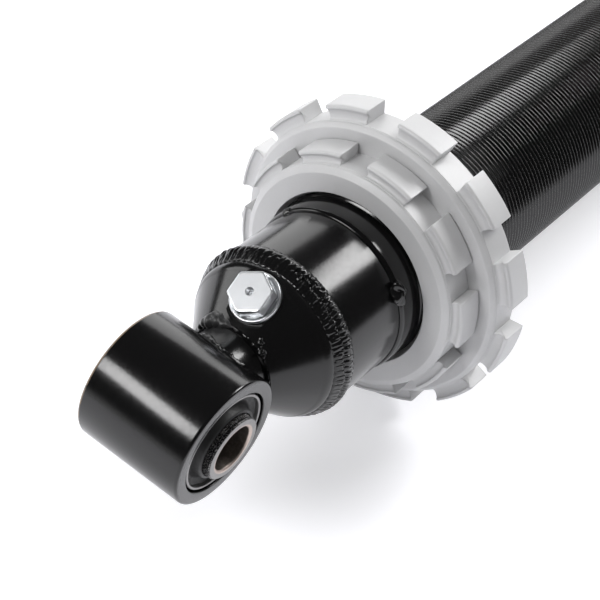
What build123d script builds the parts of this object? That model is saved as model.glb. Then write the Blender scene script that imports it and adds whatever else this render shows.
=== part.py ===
from build123d import *
import math
import os

# Damper with a threaded body and screw-on collars, lying along +X.
# The lower eye's centre is the origin, the damper axis is +X and the eye bolts run along Y.
# Lengths are millimetres.

# Fits
running_gap = 0.04
pin_gap = 0.05
piston_gap = 0.4

# Bushed eyes, the same at both ends
eye_wall = 3.5
eye_half_length = 15.4
eye_edge_chamfer = 0.8
bolt_r = 6.05
bush_core_wall = 2.6
bush_core_edge = 0.4
bush_core_stand_out = 2.4
rubber_thickness = 3.9
rubber_rise_inside = 0.4
rubber_drop_outside = 1.2
rubber_dish_depth = 2.8
bush_shell_wall = 1.3
bush_shell_set_back = 0.4
bush_shell_edge = 0.5

# Neck between the lower eye and the base cap, with its two weld beads
neck_r = 10.6
neck_length = 2.6
eye_bead_height = 2.2
eye_bead_width = 2.8
cap_bead_leg = 2.2

# Base cap of the body tube
cap_face_step = 0.8
cap_cone_step = 0.7
cap_cone_length = 11.0
cap_rim_length = 2.6
cap_rim_rise = 1.3
cap_rim_step = 0.9
cap_land_length = 2.0
cap_weld_depth = 2.0
cap_spigot_length = 6.4
cap_spigot_wall = 3.5
cap_hollow_step = 8.5
cap_hollow_step_depth = 8.0
cap_hollow_floor_depth = 14.0

# Gas filling plug on the cone of the cap
plug_along_cone = 7.3
plug_turn_deg = 85.0
plug_seat_depth = 0.8
plug_seat_play = 1.05
plug_washer_r = 6.65
plug_washer_thickness = 1.4
plug_hex_across_flats = 10.0
plug_hex_height = 3.8
plug_hex_turn_deg = 32.0
plug_shank_r = 3.0
plug_shank_length = 8.5
plug_shank_play = 0.5
plug_dimple_r = 0.95
plug_dimple_depth = 1.2
gas_drilling_r = 1.2

# Body tube
tube_bore_r = 20.0
tube_wall = 2.8
tube_length = 228.4
tube_end_chamfer = 0.6
body_bead_height = 0.7
body_bead_crest_length = 1.6
body_bead_length = 4.6

# Threaded sleeve over the tube
sleeve_start = 24.2
sleeve_length = 186.2
sleeve_edge = 1.0
sleeve_band_wall = 0.75
sleeve_band_length = 5.6
thread_rise = 0.4
tack_turns_deg = (41.5, 145.0, 268.0)
tack_r = 2.6
tack_sink = 0.65
tack_along_sleeve = 1.5

# Castellated collars
collar_start = 7.2
collar_thickness = 10.0
collar_mouth_step = 1.0
collar_mouth_depth = 2.0
collar_cove = 1.15
collar_tooth_setback = 1.3
collar_tooth_edge = 0.7
collar_back_edge = 0.5
lock_ring_width = 7.5
lock_floor_step = 0.95
lock_tooth_height = 3.2
lock_teeth = 10
lock_slot_width = 8.1
lock_tooth_turn_deg = 60.9
perch_width = 15.6
perch_floor_step = 0.3
perch_tooth_height = 4.05
perch_teeth = 12
perch_slot_width = 9.2
perch_tooth_turn_deg = 65.46
perch_shoulder_width = 5.6
perch_shoulder_length = 6.0

# Floating piston between the gas and the oil
divider_start = 34.4
divider_length = 16.0
divider_cup_wall = 5.6
divider_cup_depth = 8.0
divider_seal_width = 3.0
divider_seal_depth = 2.4

# Damping piston and its stack on the rod
rod_r = 7.0
rod_spigot_step = 2.0
rod_spigot_stand_out = 1.6
piston_length = 16.0
piston_band_width = 10.0
piston_band_depth = 1.0
piston_port_r = 1.6
piston_port_step = 7.2
piston_ports = 6
shim_count = 4
shim_cover = 3.5
rebound_shim_thickness = 0.5
rebound_shim_step = 1.4
compression_shim_thickness = 0.6
compression_shim_step = 1.5
piston_nut_across_flats = 17.0
piston_nut_height = 8.0
topout_wall = 4.0
topout_length = 14.0

# Closed end of the tube: rod guide, seals, snap ring and end cap
guide_length = 20.0
guide_end_depth = 6.0
guide_clearance = 0.8
guide_bush_start = 2.0
guide_bush_length = 10.0
guide_bush_wall = 1.3
rod_seal_depth = 7.0
rod_seal_length = 6.0
rod_seal_width = 4.5
guide_seal_start = 6.6
guide_seal_width = 2.8
guide_seal_depth = 2.4
snap_ring_width = 1.8
snap_ring_cover = 2.0
snap_groove_depth = 1.2
snap_groove_play = 0.2
end_cap_plug_length = 3.0
end_cap_flange_length = 4.0
end_cap_edge = 0.8
wiper_width = 4.0
wiper_lip_width = 1.6
wiper_depth = 1.0
wiper_stand_out = 1.6

# Rod end: bump stop, washer, lock nut and upper eye
travel = 108.0
bump_clearance = 2.4
bump_length = 30.0
bump_lobe_wall = 9.0
bump_waist_wall = 5.6
bump_tip_wall = 4.6
rod_thread_step = 1.0
rod_thread_reach = 21.0
washer_thickness = 3.0
washer_wall = 13.0
lock_nut_across_flats = 19.0
lock_nut_height = 7.0
boss_wall = 5.0
boss_hole_play = 2.0
boss_length = 42.0
boss_blend = 3.0

# Radii that follow from the bolt outwards
bush_core_r = bolt_r + bush_core_wall
rubber_inner_r = bush_core_r + pin_gap
bush_shell_inner_r = rubber_inner_r + rubber_thickness
eye_bore_r = bush_shell_inner_r + bush_shell_wall
eye_outer_r = eye_bore_r + eye_wall
bush_shell_half_length = eye_half_length - bush_shell_set_back
rubber_inner_half_length = eye_half_length + rubber_rise_inside
rubber_outer_half_length = eye_half_length - rubber_drop_outside
rubber_dish_half_length = eye_half_length - rubber_dish_depth
bush_core_half_length = eye_half_length + bush_core_stand_out

# Radii that follow from the tube's bore outwards
tube_outer_r = tube_bore_r + tube_wall
cap_joint_r = tube_outer_r - cap_weld_depth
cap_rim_r = cap_joint_r + cap_rim_step
cap_cone_end_r = cap_rim_r - cap_rim_rise
cap_face_r = neck_r + cap_face_step
cap_cone_start_r = cap_face_r + cap_cone_step
cap_hollow_r = tube_bore_r - cap_spigot_wall
cap_hollow_floor_r = cap_hollow_r - cap_hollow_step
body_bead_crest_r = tube_outer_r + body_bead_height
sleeve_bore_r = tube_outer_r + pin_gap
sleeve_band_r = sleeve_bore_r + sleeve_band_wall
sleeve_thread_r = sleeve_band_r + thread_rise
tack_path_r = sleeve_bore_r - tack_sink
collar_bore_r = sleeve_thread_r + pin_gap
collar_mouth_r = sleeve_thread_r + collar_mouth_step
lock_rim_r = sleeve_thread_r + lock_ring_width
lock_floor_r = lock_rim_r + lock_floor_step
lock_outer_r = lock_floor_r + lock_tooth_height
perch_rim_r = sleeve_thread_r + perch_width
perch_floor_r = perch_rim_r + perch_floor_step
perch_outer_r = perch_floor_r + perch_tooth_height
perch_shoulder_r = sleeve_thread_r + perch_shoulder_width

# Radii that follow from the bore inwards and from the rod outwards
slider_r = tube_bore_r - piston_gap
seal_outer_r = tube_bore_r - running_gap
divider_cup_r = slider_r - divider_cup_wall
divider_seal_floor_r = slider_r - divider_seal_depth
piston_band_floor_r = slider_r - piston_band_depth
guide_seal_floor_r = tube_bore_r - guide_seal_depth
snap_ring_inner_r = tube_bore_r - snap_ring_cover
snap_groove_r = tube_bore_r + snap_groove_depth
rod_spigot_r = rod_r - rod_spigot_step
rod_thread_r = rod_r - rod_thread_step
rod_clear_r = rod_r + running_gap
guide_bush_r = rod_clear_r + guide_bush_wall
piston_port_circle_r = rod_spigot_r + piston_port_step
shim_r = piston_port_circle_r + shim_cover
topout_r = rod_r + topout_wall
rod_seal_r = rod_r + rod_seal_width
wiper_r = rod_r + wiper_width
wiper_lip_r = rod_r + wiper_lip_width
bump_lobe_r = rod_r + bump_lobe_wall
bump_waist_r = rod_r + bump_waist_wall
bump_tip_r = rod_r + bump_tip_wall
washer_r = rod_thread_r + washer_wall
boss_r = rod_thread_r + boss_wall

# Stations along the axis, each from the one that carries it
cap_face_x = eye_outer_r + neck_length
cap_cone_end_x = cap_face_x + cap_cone_length
cap_rim_x = cap_cone_end_x + cap_rim_length
cap_joint_x = cap_rim_x + cap_land_length
cap_spigot_end_x = cap_joint_x + cap_spigot_length
cap_hollow_step_x = cap_spigot_end_x - cap_hollow_step_depth
cap_hollow_floor_x = cap_spigot_end_x - cap_hollow_floor_depth
plug_foot_x = cap_face_x + plug_along_cone
body_bead_crest_x = cap_joint_x + body_bead_crest_length
body_bead_end_x = cap_joint_x + body_bead_length
tube_end_x = cap_joint_x + tube_length
sleeve_start_x = cap_joint_x + sleeve_start
sleeve_end_x = sleeve_start_x + sleeve_length
sleeve_thread_start_x = sleeve_start_x + sleeve_band_length
tack_x = sleeve_start_x + tack_along_sleeve
lock_ring_x = sleeve_start_x + collar_start
perch_x = lock_ring_x + collar_thickness
divider_x = cap_joint_x + divider_start
divider_end_x = divider_x + divider_length
divider_seal_x = divider_x + divider_length / 2
guide_end_x = tube_end_x - guide_end_depth
guide_x = guide_end_x - guide_length
guide_bush_x = guide_x + guide_bush_start
guide_bush_end_x = guide_bush_x + guide_bush_length
guide_seal_x = guide_x + guide_seal_start
rod_seal_x = guide_end_x - rod_seal_depth
end_cap_plug_x = tube_end_x - end_cap_plug_length
end_cap_flange_end_x = tube_end_x + end_cap_flange_length
wiper_x = tube_end_x - wiper_depth
wiper_end_x = end_cap_flange_end_x + wiper_stand_out
rod_shoulder_x = guide_x - topout_length
piston_end_x = rod_shoulder_x - shim_count * rebound_shim_thickness
piston_x = piston_end_x - piston_length
piston_nut_end_x = piston_x - shim_count * compression_shim_thickness
piston_nut_x = piston_nut_end_x - piston_nut_height
rod_spigot_end_x = piston_nut_x - rod_spigot_stand_out
bump_x = wiper_end_x + travel + bump_clearance
bump_end_x = bump_x + bump_length
washer_end_x = bump_end_x + washer_thickness
lock_nut_end_x = washer_end_x + lock_nut_height
rod_end_x = lock_nut_end_x + rod_thread_reach
boss_hole_end_x = rod_end_x + boss_hole_play
upper_eye_x = lock_nut_end_x + boss_length


def outline_face(points):
    """Flat face inside a closed outline; a point with four numbers ends an arc through its last two."""
    edges = []
    for start, end in zip(points, points[1:] + points[:1]):
        if len(end) == 4:
            edges.append(ThreePointArc(start[:2], end[2:], end[:2]))
        else:
            edges.append(Line(start[:2], end[:2]))
    return make_face(edges)


def turned(points):
    """Round piece about the damper axis; each point is (x, radius)."""
    return revolve(outline_face(points), Axis.X, 360)


def turned_about_bolt(points):
    """Round piece about the eye bolt; each point is (along the bolt, radius)."""
    swapped = []
    for point in points:
        pair = (point[1], point[0])
        if len(point) == 4:
            pair = pair + (point[3], point[2])
        swapped.append(pair)
    return revolve(outline_face(swapped), Axis.Y, 360)


def tube_piece(x_start, x_end, inner_r, outer_r):
    return turned([(x_start, inner_r), (x_start, outer_r), (x_end, outer_r), (x_end, inner_r)])


def around_axis(turn_deg, shape):
    return Rot(turn_deg, 0, 0) * shape


def at_x(x, shape):
    return Pos(x, 0, 0) * shape


def rod_shape(x_start, x_end, radius):
    return turned([(x_start, 0), (x_start, radius), (x_end, radius), (x_end, 0)])


def hex_prism(across_flats, height):
    """Hexagonal block standing on the XY plane."""
    return extrude(RegularPolygon(across_flats / math.sqrt(3), 6), height)


def hex_nut(x_start, x_end, across_flats, bore_r):
    """Nut about the damper axis with both corner rings turned off at thirty degrees."""
    corner_r = across_flats / math.sqrt(3)
    fall = (corner_r - across_flats / 2 * 0.97) * math.tan(math.radians(30))
    block = Pos(x_start, 0, 0) * Rot(0, 90, 0) * hex_prism(across_flats, x_end - x_start)
    envelope = turned([
        (x_start, 0), (x_start, across_flats / 2 * 0.97), (x_start + fall, corner_r),
        (x_end - fall, corner_r), (x_end, across_flats / 2 * 0.97), (x_end, 0),
    ])
    return (block & envelope) - rod_shape(x_start, x_end, bore_r)


# Eye bushes
def eye_ring():
    far = eye_half_length
    cut = eye_edge_chamfer
    return turned_about_bolt([
        (-far, eye_bore_r), (-far, eye_outer_r - cut), (cut - far, eye_outer_r),
        (far - cut, eye_outer_r), (far, eye_outer_r - cut), (far, eye_bore_r),
    ])


def bush_shell():
    far = bush_shell_half_length
    cut = bush_shell_edge
    return turned_about_bolt([
        (-far, bush_shell_inner_r), (-far, eye_bore_r - cut), (cut - far, eye_bore_r),
        (far - cut, eye_bore_r), (far, eye_bore_r - cut), (far, bush_shell_inner_r),
    ])


def bush_rubber():
    middle_r = (rubber_inner_r + bush_shell_inner_r) / 2
    return turned_about_bolt([
        (-rubber_inner_half_length, rubber_inner_r),
        (-rubber_outer_half_length, bush_shell_inner_r, -rubber_dish_half_length, middle_r),
        (rubber_outer_half_length, bush_shell_inner_r),
        (rubber_inner_half_length, rubber_inner_r, rubber_dish_half_length, middle_r),
    ])


def bush_core():
    far = bush_core_half_length
    cut = bush_core_edge
    return turned_about_bolt([
        (-far, bolt_r + cut), (-far, bush_core_r - cut), (cut - far, bush_core_r),
        (far - cut, bush_core_r), (far, bush_core_r - cut), (far, bolt_r + cut),
        (far - cut, bolt_r), (cut - far, bolt_r),
    ])


# Neck and its welds
eye_solid = Rot(90, 0, 0) * Cylinder(eye_outer_r, 4 * eye_half_length)
neck = rod_shape(eye_outer_r / 4, cap_face_x, neck_r) - eye_solid

saddle = Rot(90, 0, 0) * Cylinder(eye_outer_r + eye_bead_height, 4 * eye_half_length)
saddle_low = Rot(90, 0, 0) * Cylinder(eye_outer_r + eye_bead_height / 2, 4 * eye_half_length)
bead_blank = tube_piece(eye_outer_r / 4, cap_face_x - cap_bead_leg, neck_r, neck_r + eye_bead_width / 2)
bead_foot = tube_piece(eye_outer_r / 4, cap_face_x - cap_bead_leg, neck_r, neck_r + eye_bead_width)
eye_bead = ((bead_blank & saddle) + (bead_foot & saddle_low)) - eye_solid
cap_bead = turned([
    (cap_face_x, neck_r), (cap_face_x - cap_bead_leg, neck_r),
    (cap_face_x, neck_r + cap_bead_leg, cap_face_x - 0.62 * cap_bead_leg, neck_r + 0.62 * cap_bead_leg),
])
neck_welds = [eye_bead, cap_bead]

# Base cap with the spot face and drilling of the filling plug
cap_blank = turned([
    (cap_face_x, 0), (cap_face_x, cap_face_r), (cap_face_x + 0.5, cap_face_r + 1),
    (cap_cone_end_x, cap_cone_end_r),
    (cap_rim_x, cap_rim_r, (cap_cone_end_x + cap_rim_x) / 2 - 0.1, (cap_cone_end_r + cap_rim_r) / 2 + 0.25),
    (cap_joint_x, cap_joint_r), (cap_joint_x, tube_bore_r), (cap_spigot_end_x, tube_bore_r),
    (cap_spigot_end_x, cap_hollow_r), (cap_hollow_step_x, cap_hollow_r),
    (cap_hollow_floor_x, cap_hollow_floor_r), (cap_hollow_floor_x, 0),
])
cone_slope = math.atan2(cap_cone_end_r - cap_cone_start_r, cap_cone_end_x - cap_face_x)
plug_foot_r = cap_cone_start_r + (plug_foot_x - cap_face_x) * math.tan(cone_slope)
plug_turn = math.radians(plug_turn_deg)
plug_axis = Vector(
    -math.sin(cone_slope),
    math.cos(cone_slope) * math.cos(plug_turn),
    math.cos(cone_slope) * math.sin(plug_turn),
)
cone_point = Vector(
    plug_foot_x,
    plug_foot_r * math.cos(plug_turn),
    plug_foot_r * math.sin(plug_turn),
)
plug_seat = Plane(origin=cone_point - plug_axis * plug_seat_depth, x_dir=(0, 1, 0), z_dir=plug_axis)
seat_height = 2 * (plug_washer_thickness + plug_hex_height)
seat_cut = plug_seat * Pos(0, 0, seat_height / 2) * Cylinder(plug_washer_r + plug_seat_play, seat_height)
shank_cut = plug_seat * Pos(0, 0, -plug_shank_length / 2) * Cylinder(plug_shank_r, plug_shank_length)
gas_drilling = plug_seat * Pos(0, 0, -plug_shank_length) * Cylinder(gas_drilling_r, 2 * plug_shank_length)
base_cap = cap_blank - seat_cut - shank_cut - gas_drilling

plug_washer = plug_seat * extrude(Circle(plug_washer_r) - Circle(plug_shank_r), plug_washer_thickness)
hex_head = Rot(0, 0, plug_hex_turn_deg) * hex_prism(plug_hex_across_flats, plug_hex_height)
corner_r = plug_hex_across_flats / math.sqrt(3)
hex_envelope = revolve(make_face(Polyline(
    (0, 0), (corner_r, 0), (corner_r, plug_hex_height - 0.5),
    (plug_hex_across_flats / 2 * 0.96, plug_hex_height), (0, plug_hex_height), close=True,
).rotate(Axis.X, 90)), Axis.Z, 360)
hex_head = hex_head & hex_envelope
dimple = Pos(0, 0, plug_hex_height - plug_dimple_depth / 2) * Cylinder(plug_dimple_r, plug_dimple_depth)
hex_head = hex_head - dimple
shank_length = plug_shank_length - plug_shank_play + plug_washer_thickness
hex_head = hex_head + Pos(0, 0, -shank_length / 2) * Cylinder(plug_shank_r, shank_length)
fill_plug = plug_seat * Pos(0, 0, plug_washer_thickness) * hex_head

# Body tube, its weld to the cap and the sleeve
snap_groove_end_x = guide_end_x + snap_ring_width + snap_groove_play
body_tube = turned([
    (cap_joint_x, tube_bore_r), (cap_joint_x, cap_joint_r),
    (cap_joint_x + cap_weld_depth, tube_outer_r),
    (tube_end_x - tube_end_chamfer, tube_outer_r), (tube_end_x, tube_outer_r - tube_end_chamfer),
    (tube_end_x, tube_bore_r), (snap_groove_end_x, tube_bore_r),
    (snap_groove_end_x, snap_groove_r), (guide_end_x, snap_groove_r), (guide_end_x, tube_bore_r),
])
body_weld = turned([
    (cap_rim_x, cap_rim_r),
    (body_bead_end_x, tube_outer_r, body_bead_crest_x, body_bead_crest_r),
    (cap_joint_x + cap_weld_depth, tube_outer_r), (cap_joint_x, cap_joint_r),
])
threaded_sleeve = turned([
    (sleeve_start_x, sleeve_bore_r), (sleeve_start_x, sleeve_bore_r + 0.1),
    (sleeve_start_x + sleeve_edge, sleeve_band_r), (sleeve_thread_start_x, sleeve_band_r),
    (sleeve_thread_start_x + thread_rise, sleeve_thread_r), (sleeve_end_x - sleeve_edge, sleeve_thread_r),
    (sleeve_end_x, sleeve_bore_r + 0.25), (sleeve_end_x, sleeve_bore_r),
])
tack_keep_out = rod_shape(sleeve_start_x - 4 * tack_r, sleeve_start_x, tube_outer_r) + turned([
    (sleeve_start_x, 0), (sleeve_start_x, sleeve_bore_r + 0.1),
    (sleeve_start_x + sleeve_edge, sleeve_band_r), (sleeve_start_x + 4 * tack_r, sleeve_band_r),
    (sleeve_start_x + 4 * tack_r, 0),
])
tack_blob = Pos(tack_x, tack_path_r, 0) * Sphere(tack_r) - tack_keep_out
sleeve_tacks = [around_axis(turn, tack_blob) for turn in tack_turns_deg]


# The castellated collars are the most skilled feature: a turned disc with a coved front,
# a rounded tooth crest and milled slots that leave the coved rim standing between the teeth.
def castellated_collar(front_x, rim_r, outer_r, floor_r, teeth, slot_width, tooth_turn_deg, shoulder):
    back_x = front_x + collar_thickness
    face_x = front_x + collar_tooth_setback
    edge = collar_tooth_edge
    bend = 0.7071
    cove_r = rim_r + collar_cove
    cove_mid_x = front_x + collar_cove * bend + 0.1
    outline = [
        (front_x, collar_mouth_r), (front_x, rim_r), (front_x + 0.1, rim_r),
        (face_x, cove_r + 0.05, cove_mid_x, rim_r + collar_cove * (1 - bend)),
        (face_x, outer_r - edge),
        (face_x + edge, outer_r, face_x + edge * (1 - bend), outer_r - edge * (1 - bend)),
        (back_x - collar_back_edge, outer_r), (back_x, outer_r - collar_back_edge),
    ]
    if shoulder:
        outline += [
            (back_x, perch_shoulder_r), (back_x + perch_shoulder_length - 1, perch_shoulder_r),
            (back_x + perch_shoulder_length, perch_shoulder_r - 1),
            (back_x + perch_shoulder_length, collar_bore_r),
        ]
    else:
        outline += [(back_x, collar_bore_r)]
    outline += [
        (front_x + collar_mouth_depth, collar_bore_r), (front_x + collar_mouth_depth - 0.9, collar_mouth_r),
    ]
    collar = turned(outline)
    depth = 2 * (outer_r - floor_r)
    slot_middle = Pos(front_x + collar_thickness / 2, floor_r + depth / 2, 0)
    cutter = slot_middle * Box(2 * collar_thickness, depth, slot_width)
    cutter = cutter - rod_shape(front_x - 2 * collar_thickness, back_x + 2 * collar_thickness, floor_r)
    slot_turn = tooth_turn_deg + 180 / teeth
    for number in range(teeth):
        collar = collar - around_axis(slot_turn + number * 360 / teeth, cutter)
    return collar


lock_ring = castellated_collar(
    lock_ring_x, lock_rim_r, lock_outer_r, lock_floor_r,
    lock_teeth, lock_slot_width, lock_tooth_turn_deg, False,
)
spring_perch = castellated_collar(
    perch_x, perch_rim_r, perch_outer_r, perch_floor_r,
    perch_teeth, perch_slot_width, perch_tooth_turn_deg, True,
)

# Floating piston and its ring
seal_low = divider_seal_x - divider_seal_width / 2
seal_high = divider_seal_x + divider_seal_width / 2
floating_piston = turned([
    (divider_x, divider_cup_r), (divider_x, slider_r - 0.5), (divider_x + 0.5, slider_r),
    (seal_low, slider_r), (seal_low, divider_seal_floor_r), (seal_high, divider_seal_floor_r),
    (seal_high, slider_r), (divider_end_x - 0.5, slider_r), (divider_end_x, slider_r - 0.5),
    (divider_end_x, 0), (divider_x + divider_cup_depth, 0), (divider_x + divider_cup_depth, divider_cup_r),
])
floating_piston_ring = turned([
    (seal_low, divider_seal_floor_r), (seal_low, seal_outer_r - 0.5),
    (seal_high, seal_outer_r - 0.5, divider_seal_x, seal_outer_r), (seal_high, divider_seal_floor_r),
])

# Damping piston stack
band_low = piston_x + (piston_length - piston_band_width) / 2
band_high = band_low + piston_band_width
piston = turned([
    (piston_x, rod_spigot_r), (piston_x, slider_r - 0.5), (piston_x + 0.5, slider_r),
    (band_low, slider_r), (band_low, piston_band_floor_r), (band_high, piston_band_floor_r),
    (band_high, slider_r), (piston_end_x - 0.5, slider_r), (piston_end_x, slider_r - 0.5),
    (piston_end_x, rod_spigot_r),
])
port_blank = Pos(0, piston_port_circle_r, 0) * Rot(0, 90, 0) * Cylinder(piston_port_r, 2 * piston_length)
port = at_x(piston_x + piston_length / 2, port_blank)
for number in range(piston_ports):
    piston = piston - around_axis(number * 360 / piston_ports, port)
piston_band = tube_piece(band_low, band_high, piston_band_floor_r, seal_outer_r)
rebound_shims = []
compression_shims = []
for number in range(shim_count):
    low = piston_end_x + number * rebound_shim_thickness
    outer = shim_r - number * rebound_shim_step
    rebound_shims.append(tube_piece(low, low + rebound_shim_thickness, rod_spigot_r, outer))
    high = piston_x - number * compression_shim_thickness
    outer = shim_r - number * compression_shim_step
    compression_shims.append(tube_piece(high - compression_shim_thickness, high, rod_spigot_r, outer))
piston_nut = hex_nut(piston_nut_x, piston_nut_end_x, piston_nut_across_flats, rod_spigot_r)
topout_spacer = tube_piece(rod_shoulder_x, guide_x, rod_r, topout_r)
piston_rod = turned([
    (rod_spigot_end_x, 0), (rod_spigot_end_x, rod_spigot_r - 0.6), (rod_spigot_end_x + 0.6, rod_spigot_r),
    (rod_shoulder_x, rod_spigot_r), (rod_shoulder_x, rod_r), (bump_end_x, rod_r),
    (bump_end_x, rod_thread_r), (rod_end_x - 0.8, rod_thread_r),
    (rod_end_x, rod_thread_r - 0.8), (rod_end_x, 0),
])

# Rod guide, seals and end cap
guide_open_r = rod_r + guide_clearance
seal_groove_low = guide_seal_x - guide_seal_width / 2
seal_groove_high = guide_seal_x + guide_seal_width / 2
rod_guide = turned([
    (guide_x, guide_open_r), (guide_x, tube_bore_r - 0.6), (guide_x + 0.6, tube_bore_r),
    (seal_groove_low, tube_bore_r), (seal_groove_low, guide_seal_floor_r),
    (seal_groove_high, guide_seal_floor_r), (seal_groove_high, tube_bore_r), (guide_end_x, tube_bore_r),
    (guide_end_x, rod_seal_r), (rod_seal_x, rod_seal_r), (rod_seal_x, guide_open_r),
    (guide_bush_end_x, guide_open_r), (guide_bush_end_x, guide_bush_r),
    (guide_bush_x, guide_bush_r), (guide_bush_x, guide_open_r),
])
guide_bush = tube_piece(guide_bush_x, guide_bush_end_x, rod_clear_r, guide_bush_r)
guide_seal = turned([
    (seal_groove_low, guide_seal_floor_r), (seal_groove_low, tube_bore_r - 0.4),
    (seal_groove_high, tube_bore_r - 0.4, guide_seal_x, tube_bore_r), (seal_groove_high, guide_seal_floor_r),
])
rod_seal = turned([
    (rod_seal_x, rod_clear_r + 1.2), (rod_seal_x, rod_seal_r), (rod_seal_x + rod_seal_length, rod_seal_r),
    (rod_seal_x + rod_seal_length, rod_clear_r + 1.6), (rod_seal_x + rod_seal_length / 2, rod_clear_r),
    (rod_seal_x + 0.8, rod_clear_r),
])
snap_ring = tube_piece(guide_end_x, guide_end_x + snap_ring_width, snap_ring_inner_r, snap_groove_r)
end_cap = turned([
    (end_cap_plug_x, wiper_lip_r), (end_cap_plug_x, tube_bore_r), (tube_end_x, tube_bore_r),
    (tube_end_x, tube_outer_r), (end_cap_flange_end_x - end_cap_edge, tube_outer_r),
    (end_cap_flange_end_x, tube_outer_r - end_cap_edge), (end_cap_flange_end_x, wiper_r),
    (wiper_x, wiper_r), (wiper_x, wiper_lip_r),
])
wiper = turned([
    (wiper_x, rod_clear_r + 1.3), (wiper_x, wiper_r), (end_cap_flange_end_x, wiper_r),
    (end_cap_flange_end_x, wiper_lip_r + 0.6), (wiper_end_x, rod_clear_r + 0.6), (wiper_end_x, rod_clear_r),
    (wiper_end_x - 1.5, rod_clear_r),
])

# Rod end
lobe = bump_length / 3
bump_stop = turned([
    (bump_x, rod_r), (bump_x, bump_tip_r - 2),
    (bump_x + lobe * 0.9, bump_waist_r - 1.2, bump_x + lobe * 0.45, bump_tip_r + 1.2),
    (bump_x + lobe * 1.1, bump_waist_r - 1.2),
    (bump_x + lobe * 1.9, bump_waist_r, bump_x + lobe * 1.5, bump_lobe_r - 1.2),
    (bump_x + lobe * 2.1, bump_waist_r),
    (bump_end_x, bump_waist_r + 1.4, bump_x + lobe * 2.6, bump_lobe_r),
    (bump_end_x, rod_r),
])
bump_washer = turned([
    (bump_end_x, rod_thread_r), (bump_end_x, washer_r - 0.4), (bump_end_x + 0.4, washer_r),
    (washer_end_x - 0.4, washer_r), (washer_end_x, washer_r - 0.4), (washer_end_x, rod_thread_r),
])
lock_nut = hex_nut(washer_end_x, lock_nut_end_x, lock_nut_across_flats, rod_thread_r)
eye_clear = at_x(upper_eye_x, Rot(90, 0, 0) * Cylinder(eye_bore_r, 4 * eye_half_length))
boss = turned([
    (lock_nut_end_x, 0), (lock_nut_end_x, boss_r - 1), (lock_nut_end_x + 1, boss_r),
    (upper_eye_x - eye_outer_r - boss_blend, boss_r),
    (upper_eye_x - eye_outer_r * 0.78, boss_r + boss_blend,
     upper_eye_x - eye_outer_r - boss_blend * 0.1, boss_r + boss_blend * 0.3),
    (upper_eye_x, boss_r + boss_blend), (upper_eye_x, 0),
])
upper_eye = at_x(upper_eye_x, eye_ring()) + boss
upper_eye = upper_eye - eye_clear - rod_shape(lock_nut_end_x, boss_hole_end_x, rod_thread_r)

nodes = {
    "lower_eye": [eye_ring()],
    "lower_bush_shell": [bush_shell()],
    "lower_bush_rubber": [bush_rubber()],
    "lower_bush_core": [bush_core()],
    "neck": [neck],
    "neck_welds": neck_welds,
    "base_cap": [base_cap],
    "fill_plug": [fill_plug],
    "fill_plug_washer": [plug_washer],
    "body_weld": [body_weld],
    "body_tube": [body_tube],
    "threaded_sleeve": [threaded_sleeve],
    "sleeve_tack_welds": sleeve_tacks,
    "lock_ring": [lock_ring],
    "spring_perch": [spring_perch],
    "floating_piston": [floating_piston],
    "floating_piston_ring": [floating_piston_ring],
    "piston": [piston],
    "piston_band": [piston_band],
    "rebound_shims": rebound_shims,
    "compression_shims": compression_shims,
    "piston_nut": [piston_nut],
    "topout_spacer": [topout_spacer],
    "piston_rod": [piston_rod],
    "rod_guide": [rod_guide],
    "guide_bush": [guide_bush],
    "guide_seal": [guide_seal],
    "rod_seal": [rod_seal],
    "snap_ring": [snap_ring],
    "end_cap": [end_cap],
    "wiper": [wiper],
    "bump_stop": [bump_stop],
    "bump_washer": [bump_washer],
    "lock_nut": [lock_nut],
    "upper_eye": [upper_eye],
    "upper_bush_shell": [at_x(upper_eye_x, bush_shell())],
    "upper_bush_rubber": [at_x(upper_eye_x, bush_rubber())],
    "upper_bush_core": [at_x(upper_eye_x, bush_core())],
}

os.makedirs("parts", exist_ok=True)
for name, pieces in nodes.items():
    solids = []
    for piece in pieces:
        solids += piece.solids()
    shape = solids[0] if len(solids) == 1 else Compound(children=solids)
    print(name, len(solids), "solids", round(sum(solid.volume for solid in solids), 1), "mm3")
    export_step(shape, f"parts/{name}.step")
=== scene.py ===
import math

import bmesh
import bpy
import numpy as np
from mathutils import Matrix, Vector


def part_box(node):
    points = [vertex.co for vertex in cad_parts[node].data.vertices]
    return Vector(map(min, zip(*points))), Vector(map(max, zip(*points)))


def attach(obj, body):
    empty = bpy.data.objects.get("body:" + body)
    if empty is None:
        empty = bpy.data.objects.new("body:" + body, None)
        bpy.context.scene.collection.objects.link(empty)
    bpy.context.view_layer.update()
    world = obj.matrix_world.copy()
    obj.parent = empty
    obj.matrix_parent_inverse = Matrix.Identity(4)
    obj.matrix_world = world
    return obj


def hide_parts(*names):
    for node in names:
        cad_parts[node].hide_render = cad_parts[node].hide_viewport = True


# The damper lies along +X with the lower eye's centre at the origin and the eye bolts along Y.
# Shapes are worked out in millimetres and put into the meshes in metres.
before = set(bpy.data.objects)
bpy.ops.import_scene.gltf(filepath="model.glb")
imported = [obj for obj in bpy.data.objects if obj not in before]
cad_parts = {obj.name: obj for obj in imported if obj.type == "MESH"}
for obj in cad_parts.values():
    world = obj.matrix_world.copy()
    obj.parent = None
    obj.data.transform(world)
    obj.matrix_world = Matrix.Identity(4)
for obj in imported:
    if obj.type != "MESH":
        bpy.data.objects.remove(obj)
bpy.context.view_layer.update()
MM = 0.001
FULL_TURN = 2 * math.pi


def ends_x(node):
    """Where a CAD node starts and ends along the damper, in millimetres."""
    low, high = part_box(node)
    return round(low.x / MM, 2), round(high.x / MM, 2)


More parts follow.
